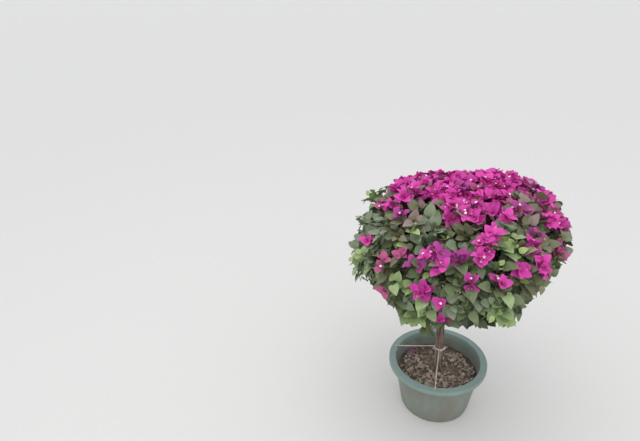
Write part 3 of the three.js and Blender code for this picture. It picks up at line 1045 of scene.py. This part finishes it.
def bract_colour(shoot, pixel):
    """The class of a shoot's bracts: brightest on top as painted light, deeper low down as painted
    shade, deeper also to the right, and fading at both sides.
    """
    x, height = pixel[0], shoot.tip[2]
    # The deep share grows below 0.53 m: painted shade low on the crown
    deep = 0.06 + 0.26 * smooth_step(500, 545, x) + 0.5 * smooth_step(0.53, 0.50, height)
    rose = 0.10 + 0.35 * smooth_step(525, 555, x) + 0.35 * smooth_step(395, 375, x)
    # The bright share grows above 0.70 m: painted light on the top of the crown
    bright = 0.45 + 0.4 * smooth_step(0.70, 0.78, height)
    up_to_bright = deep + rose + bright * (1 - deep - rose)
    return dealt({"deep": deep, "rose": deep + rose, "bright": up_to_bright, "full": 1})


def leaf_kind(shoot, pixel):
    """The colour class of a shoot's leaves. The darker class deep is also painted shade, given to leaves
    inside the crown, low on it or facing down.
    """
    if shoot.leaf:
        return shoot.leaf
    # Leaves inside the crown take the darker class: painted shade
    if not shoot.is_outer:
        return "deep"
    cloud = cloud_at(shoot.tip, 8.0, 5.1)
    left, top, right, bottom = GREY_BAND
    is_in_band = left < pixel[0] < right and top < pixel[1] < bottom
    # Leaves low on the crown or facing down mostly take the darker class: painted shade
    if shoot.way[2] < -0.35 or shoot.tip[2] < 0.56:
        return dealt({"deep": 0.85, "mid": 1})
    if not faces_camera(shoot) and cloud > 0.40:
        return dealt({"pale": 1})
    if faces_camera(shoot) and is_in_band:
        return dealt({"grey": 0.65, "olive": 1})
    if is_thick(shoot, pixel) or in_patches(pixel, LEAFY_PATCHES):
        return dealt({"dusky": 0.55, "olive": 0.85, "grey": 1})
    if cloud < -0.15:
        return dealt({"olive": 0.6, "mid": 1})
    if cloud > 0.15:
        return dealt({"grey": 0.7, "mid": 1})
    return dealt({"mid": 0.5, "deep": 0.6, "grey": 1})


class Sprays:
    """Everything that the shoots carry, kept by kind and colour class."""

    def __init__(self):
        self.leaves = {kind: [] for kind in LEAF_COLOURS}
        self.bracts = {kind: [] for kind in BRACT_COLOURS}
        self.flowers = []
        self.stems = Batch()
        self.tubes = Batch()

    def leaf(self, kind, root, stalk, length, outwards, size):
        """One leaf on its stalk, or none where no try finds room for it."""
        for _ in range(LEAF_TRIES):
            base = root + stalk * length
            droop = np.array([0, 0, -rng.uniform(-0.05, 0.75)])
            along = unit(stalk + 0.5 * outwards + droop + rng.normal(0, 0.32, 3))
            if has_room((base + along * size)[None]):
                face = np.array([0, 0, 0.9]) + 0.8 * outwards + rng.normal(0, 0.34, 3)
                face = unit(face - np.dot(face, along) * along)
                self.leaves[kind].append((base, np.stack([np.cross(along, face), along, face]), size))
                self.petiole(root, base)
                return
            stalk = unit(stalk - 0.6 * outwards + rng.normal(0, 0.3, 3))

    def petiole(self, start, end):
        middle = (start + end) / 2 + np.array([0, 0, 0.0012])
        self.stems.add(*tube(np.array([start, middle, end]), STALK_RADIUS, 3))

    def bloom(self, kind, root, centre, axis, size):
        """Three papery bracts and up to three small flowers. Says whether there was room for them."""
        side = unit(np.cross(axis, rng.normal(size=3)))
        other = np.cross(axis, side)
        turns = rng.uniform(0, 2 * pi) + full_turn(3) + rng.normal(0, 0.12, 3)
        spreads = rng.uniform(0.55, 1.05, 3)
        radials = all_swung(turns, side, other)
        ways = unit(all_swung(spreads, axis, radials))
        if not has_room(centre + ways * size):
            return False
        self.petiole(root, centre)
        for radial, along in zip(radials, ways):
            across = unit(np.cross(axis, radial))
            face = np.cross(across, along)
            if np.dot(face, axis) < 0:
                across, face = -across, -face
            axes = np.stack([across, along, face])
            self.bracts[kind].append((centre + radial * 0.0012, axes, size * rng.uniform(0.9, 1.1)))
            if rng.uniform() < 0.6:
                way = unit(axis + 0.35 * radial + rng.normal(0, 0.08, 3))
                mouth = centre + way * size * rng.uniform(0.42, 0.6)
                tube_line = np.array([centre, (centre + mouth) / 2, mouth])
                self.tubes.add(*tube(tube_line, [0.0007, 0.0011, 0.0010], 4))
                if rng.uniform() < OPEN_FLOWER_SHARE:
                    self.flowers.append((mouth, way, rng.uniform(*FLOWER_SIZES)))
        return True


def clothe(sprays, line, shoot, kind, blooms, bract_kind):
    """Puts leaves and blooms on one shoot. line runs from its root to its tip."""
    length = norm(np.diff(line, axis=0), axis=1).sum()
    fine = resampled(line, 0.003)
    tangents, normals, binormals = path_frames(fine)
    last = len(fine) - 1
    step = length / max(1, last)
    turn = rng.uniform(0, 2 * pi)
    back = 0.002
    leafy = min(length, LEAFY_LENGTH if shoot.is_outer else INNER_LEAFY_LENGTH)
    bare = MANY_BLOOMS_BARE if blooms > 3 else FEW_BLOOMS_BARE
    while back < leafy:
        index = max(0, last - int(back / step))
        side = swung(turn, normals[index], binormals[index])
        stalk = unit(0.6 * tangents[index] + side + (0, 0, 0.15))
        is_young = back < YOUNG_TIP and not blooms
        size = rng.uniform(*(YOUNG_LEAF_SIZES if is_young else LEAF_SIZES))
        stalk_length = rng.uniform(*LEAF_STALKS) * (0.5 if is_young else 1.0)
        leaf_class = kind
        if is_young and (kind == "pale" or rng.uniform() < 0.15):
            leaf_class = "young"
        if not blooms or back > bare or rng.uniform() < 0.25:
            sprays.leaf(leaf_class, fine[index], stalk, stalk_length, shoot.way, size)
        turn += GOLDEN_TURN + rng.normal(0, 0.2)
        back += rng.uniform(*(LEAF_GAPS if back < NEAR_TIP else FAR_LEAF_GAPS))
    placed, tries = 0, 0
    while placed < blooms and tries < 3 * blooms:
        tries += 1
        index = max(0, last - int(rng.uniform(0, BLOOM_REACH) / step))
        turn += GOLDEN_TURN
        side = swung(turn, normals[index], binormals[index])
        lean = rng.uniform(0.25, 1.1)
        stalk = unit(0.5 * tangents[index] + 0.7 * shoot.way + lean * side + (0, 0, 0.2))
        centre = fine[index] + stalk * rng.uniform(*BLOOM_STALKS)
        axis = unit(0.8 * shoot.way + 0.75 * side * lean + (0, 0, 0.35) + rng.normal(0, 0.15, 3))
        placed += sprays.bloom(bract_kind, fine[index], centre, axis, rng.uniform(*BRACT_SIZES))


def make_crown():
    trunk = trunk_line()
    sprays = Sprays()
    twigs = Batch()
    placed = placed_shoots()
    for place in FORK_HEIGHTS:
        bough = bough_line(place, trunk)
        heading = unit(bough[-1] - bough[-3])
        wood = Wood(bough[-1] - heading * 0.002, heading)
        shoots = shoots_of(place, placed[place])
        tips = np.array([shoot.tip for shoot in shoots])
        order = farthest_first(tips, bough[-1])
        for pick in order:
            wood.grow(shoots[pick].tip, shoots[pick].way)
        radii = wood.radii()
        pixels = photo_pixels(tips)
        spots = np.array(wood.spots)
        for pick, chain in zip(order, wood.twigs):
            line = spots[chain]
            thick = radii[chain].copy()
            thick[0] = min(thick[0], thick[1] * 1.35)
            thick[-1] *= 0.6
            sides = 7 if thick[0] > THICK_TWIG else 5
            split = max(2, len(chain) - 3)
            twigs.add(*tube(line[: split + 1], thick[: split + 1], sides))
            sprays.stems.add(*tube(line[split - 1 :], thick[split - 1 :] * 1.04, 5))
            shoot = shoots[pick]
            kind = leaf_kind(shoot, pixels[pick])
            blooms = bloom_count(shoot, pixels[pick])
            bract_kind = bract_colour(shoot, pixels[pick])
            clothe(sprays, line, shoot, kind, blooms, bract_kind)
    nodes = [f"foliage_{place}" for place in FORK_HEIGHTS]
    twigs.build("twigs_brown", "twig", "bark", nodes)
    sprays.stems.build("stems_green", "stem", "leaf")
    for kind, leaves in sprays.leaves.items():
        build_blades(f"leaves_{kind}", f"leaf_{kind}", "leaf", leaves, LEAF_SHAPES)
    for kind, bracts in sprays.bracts.items():
        build_blades(f"bracts_{kind}", f"bract_{kind}", "bract", bracts, BRACT_SHAPES)
    sprays.tubes.build("flower_tubes", "tube", "bract")
    build_flowers(sprays.flowers)


def build_blades(name, look, slot, blades, shapes):
    """Joins (base, axes, size) blades into one piece, with the shapes dealt out in turn."""
    batch = Batch()
    for variant, (points, faces) in enumerate(shapes):
        origins, axes, sizes = (np.array(part) for part in zip(*blades[variant :: len(shapes)]))
        batch.add_copies(points, faces, origins, axes, sizes)
    batch.build(name, look, slot)


def build_flowers(flowers):
    points, faces = star_flower()
    batch = Batch()
    for mouth, way, size in flowers:
        side = unit(np.cross(way, (0.3, 0.2, 0.93)))
        axes = np.stack([side, np.cross(way, side), way])
        batch.add(mouth + (points * size) @ axes, faces)
    batch.build("flower_stars", "flower", "bract")


# Trunk and boughs
def trunk_radius(height, turn):
    above = height - SOIL_TOP
    flare = exp(-above / FLARE_HEIGHT * 2.6) if above > 0 else 1.0
    lobes = 1 + FLARE_LOBE_DEPTH * flare * cos(FLARE_LOBES * turn)
    share = above / (TRUNK_TIP - SOIL_TOP)
    straight = TRUNK_RADIUS + (TRUNK_TIP_RADIUS - TRUNK_RADIUS) * share
    return (straight + (TRUNK_FOOT_RADIUS - TRUNK_RADIUS) * flare) * lobes


def bark_relief(turn, height):
    """Long fissures, and a swelling round each old pruning wound."""
    place = Vector((cos(turn) * 2.4, sin(turn) * 2.4, height * 26))
    relief = 0.00075 * noise(place) + 0.00045 * noise(place * 2.7)
    relief += 0.0003 * noise(place * 6.1)
    for knot_height, knot_turn, size in KNOTS:
        apart = atan2(sin(turn - knot_turn), cos(turn - knot_turn)) * TRUNK_RADIUS
        distance = hypot(apart, height - knot_height) / KNOT_REACH
        relief += size * exp(-distance**2) - 0.55 * size * exp(-((distance / 0.4) ** 2))
    return relief


def make_wood():
    batch = Batch()
    trunk = resampled(trunk_line(), 0.002)
    turns = full_turn(TRUNK_SIDES)
    radii = [[trunk_radius(z, turn) + bark_relief(turn, z) for turn in turns] for z in trunk[:, 2]]
    batch.add(*tube(trunk, radii, TRUNK_SIDES))
    turns = full_turn(BOUGH_SIDES)
    for number, place in enumerate(FORK_HEIGHTS):
        line = resampled(bough_line(place, trunk), 0.003)
        thick = BOUGH_RADIUS + (0.0015 if place == "top" else 0)
        radii = []
        for index in range(len(line)):
            share = index / (len(line) - 1)
            base = thick + (BOUGH_TIP_RADIUS - thick) * share + 0.002 * exp(-share * 14)
            ring = []
            for turn in turns:
                spot = Vector((cos(turn) * 2, sin(turn) * 2 + number * 5, index * 0.12))
                ring.append(base + 0.0004 * noise(spot) + 0.00025 * noise(spot * 2.9))
            radii.append(ring)
        batch.add(*tube(line, radii, BOUGH_SIDES))
    nodes = ["trunk"] + [f"bough_{place}" for place in FORK_HEIGHTS]
    batch.build("trunk_and_boughs", "bark", "bark", nodes)


# Twine
def twisted(line, batch):
    """Two strands laid round each other along a line."""
    line = resampled(np.asarray(line), TWINE_STEP)
    _, normals, binormals = path_frames(line)
    stations = np.arange(len(line)) * TWINE_STEP
    for phase in (0, pi):
        offset = all_swung(stations / TWINE_PITCH * 2 * pi + phase, normals, binormals)
        batch.add(*tube(line + offset * TWINE_STRAND_RADIUS * 0.95, TWINE_STRAND_RADIUS, 6))


def level_way(turn):
    return np.array([cos(turn), sin(turn), 0])


def tie_centre():
    trunk = trunk_line()
    return trunk[np.argmin(np.abs(trunk[:, 2] - TWINE_TIE_HEIGHT))]


def guy_line(turn):
    """From the tie to the lip, and down through the lip to a knot under it."""
    outwards = level_way(turn)
    first = tie_centre() + outwards * (TWINE_LOOP_RADIUS + 0.002)
    first[2] = TWINE_TIE_HEIGHT - 0.001
    hole = MOUTH_RADIUS + GUY_HOLD
    route = [
        (MOUTH_RADIUS * 0.75, TWINE_TIE_HEIGHT + (POT_HEIGHT + GUY_CLEAR - TWINE_TIE_HEIGHT) * 0.73),
        (MOUTH_RADIUS + 0.001, POT_HEIGHT + GUY_CLEAR + 0.0004),
        (hole - 0.002, POT_HEIGHT + GUY_CLEAR * 0.7),
        (hole, POT_HEIGHT - 0.001),
        (hole, LIP_FOOT - 0.003),
    ]
    points = [first] + [outwards * radius + (0, 0, height) for radius, height in route]
    return catmull(points, 14)


def knot_line(middle, size):
    """A closed overhand knot about a point."""
    t = np.linspace(0, 2 * pi, 60)
    wide, deep, high = np.sin(t) + 2 * np.sin(2 * t), np.sin(3 * t) * 0.8, np.cos(t) - 2 * np.cos(2 * t)
    return middle + np.stack([wide, deep, high], -1) * size


def make_twine():
    loop = Batch()
    centre = tie_centre()
    turns = np.linspace(0, 4 * pi, 90)
    x = centre[0] + TWINE_LOOP_RADIUS * np.cos(turns)
    y = centre[1] + TWINE_LOOP_RADIUS * np.sin(turns)
    z = TWINE_TIE_HEIGHT - 0.0022 + 0.0044 * turns / turns[-1]
    twisted(np.stack([x, y, z], -1), loop)
    middle = centre + level_way(TWINE_KNOT_TURN) * (TWINE_LOOP_RADIUS + 0.0022)
    middle[2] = TWINE_TIE_HEIGHT
    twisted(knot_line(middle, 0.00125), loop)
    loose_end = [(0, 0, 0), (0.005, -0.002, 0.004), (0.011, -0.003, 0.010), (0.014, -0.002, 0.018)]
    twisted(catmull(middle + loose_end, 10), loop)
    loop.build("twine_tie", "twine", "twine", ["twine_loop"])
    for name, turn in GUY_TURNS.items():
        guy = Batch()
        line = guy_line(turn)
        twisted(line, guy)
        twisted(knot_line(line[-1] - (0, 0, 0.002), 0.0011), guy)
        guy.build(f"{name}_guy", "twine", "twine", [name])


# Fallen leaves and bracts
def make_fallen():
    """Dry leaves and fallen bracts on the soil."""
    leaves = scattered_places(DRY_LEAVES, 0.035, SOIL_RADIUS - 0.018)
    bracts = []
    for pixel in FALLEN_BRACT_PIXELS:
        sight = line_of_sight(*pixel)
        x, y, _ = CAMERA_PLACE + sight * ((SOIL_EDGE + 0.004 - CAMERA_PLACE[2]) / sight[2])
        bracts.append((x, y, soil_height(x, y)))
    bracts = np.array(bracts)
    for name, look, slot, shapes, places, sizes in (
        ("soil_dry_leaves", "dry_leaf", "leaf", LEAF_SHAPES, leaves, DRY_LEAF_SIZES),
        ("soil_fallen_bracts", "bract_faded", "bract", BRACT_SHAPES, bracts, FALLEN_BRACT_SIZES),
    ):
        count = len(places)
        axes = turned_axes(count, 0.3)
        places = places + (0, 0, 0.0035) - axes[:, 1] * 0.012
        entries = list(zip(places, axes, rng.uniform(*sizes, count)))
        build_blades(name, look, slot, entries, shapes)


make_camera()
make_stage()
make_pot()
make_soil()
make_litter()
make_fallen()
make_wood()
make_twine()
make_crown()
